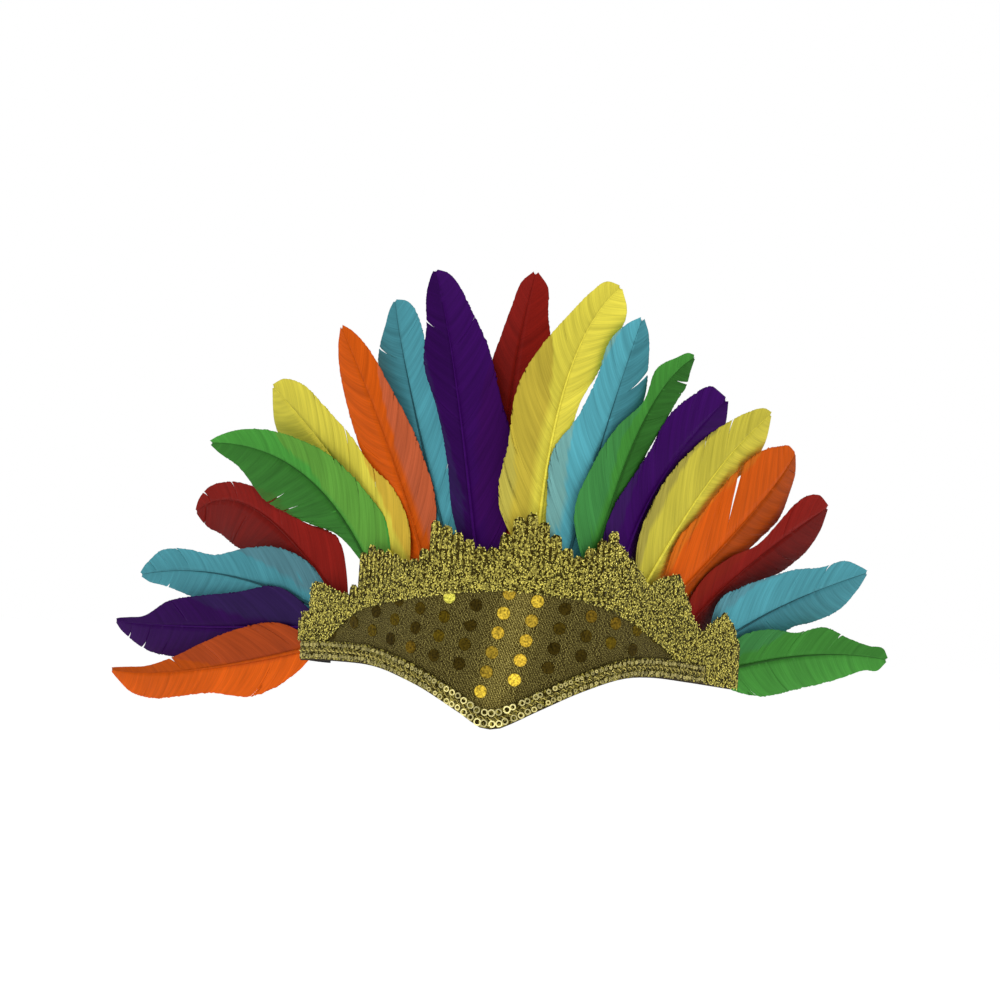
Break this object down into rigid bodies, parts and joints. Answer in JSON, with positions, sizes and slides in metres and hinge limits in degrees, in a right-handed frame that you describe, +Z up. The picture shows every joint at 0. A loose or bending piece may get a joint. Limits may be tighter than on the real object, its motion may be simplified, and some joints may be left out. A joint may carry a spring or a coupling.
{
  "type": "feather headdress",
  "caption": "Carnival headdress: a curved brow front in sequin cloth with gold lace and braid, a fan of dyed feathers standing behind it, and an elastic band for the back of the head",
  "frame": {"origin": "the middle of the forehead on the inner face of the backing card, at the height of the elastic band", "axes": "+Z up the feathers, +X to the right as seen from the front, -Y out of the front of the brow"},
  "size_m": [0.4389, 0.2076, 0.2413],
  "materials": {
    "card": "matt dark card",
    "gold_cloth": "olive gold knit with a metallic thread and sequins",
    "gold_lace": "metallic gold lace",
    "gold_braid": "metallic gold braid in loops",
    "feather_orange": "dyed feather, satin",
    "feather_purple": "dyed feather, satin",
    "feather_blue": "dyed feather, satin",
    "feather_red": "dyed feather, satin",
    "feather_green": "dyed feather, satin",
    "feather_yellow": "dyed feather, satin",
    "elastic": "ribbed black elastic"
  },
  "bodies": {
    "root": {"backing_card": "card", "sequin_cloth": "gold_cloth", "lace_trim": "gold_lace", "lower_braid": "gold_braid", "feather_01": "feather_orange", "feather_02": "feather_purple", "feather_03": "feather_blue", "feather_04": "feather_red", "feather_05": "feather_green", "feather_06": "feather_yellow", "feather_07": "feather_orange", "feather_08": "feather_blue", "feather_09": "feather_purple", "feather_10": "feather_red", "feather_11": "feather_yellow", "feather_12": "feather_blue", "feather_13": "feather_green", "feather_14": "feather_purple", "feather_15": "feather_yellow", "feather_16": "feather_orange", "feather_17": "feather_red", "feather_18": "feather_blue", "feather_19": "feather_green", "head_band": "elastic"}
  },
  "joints": []
}
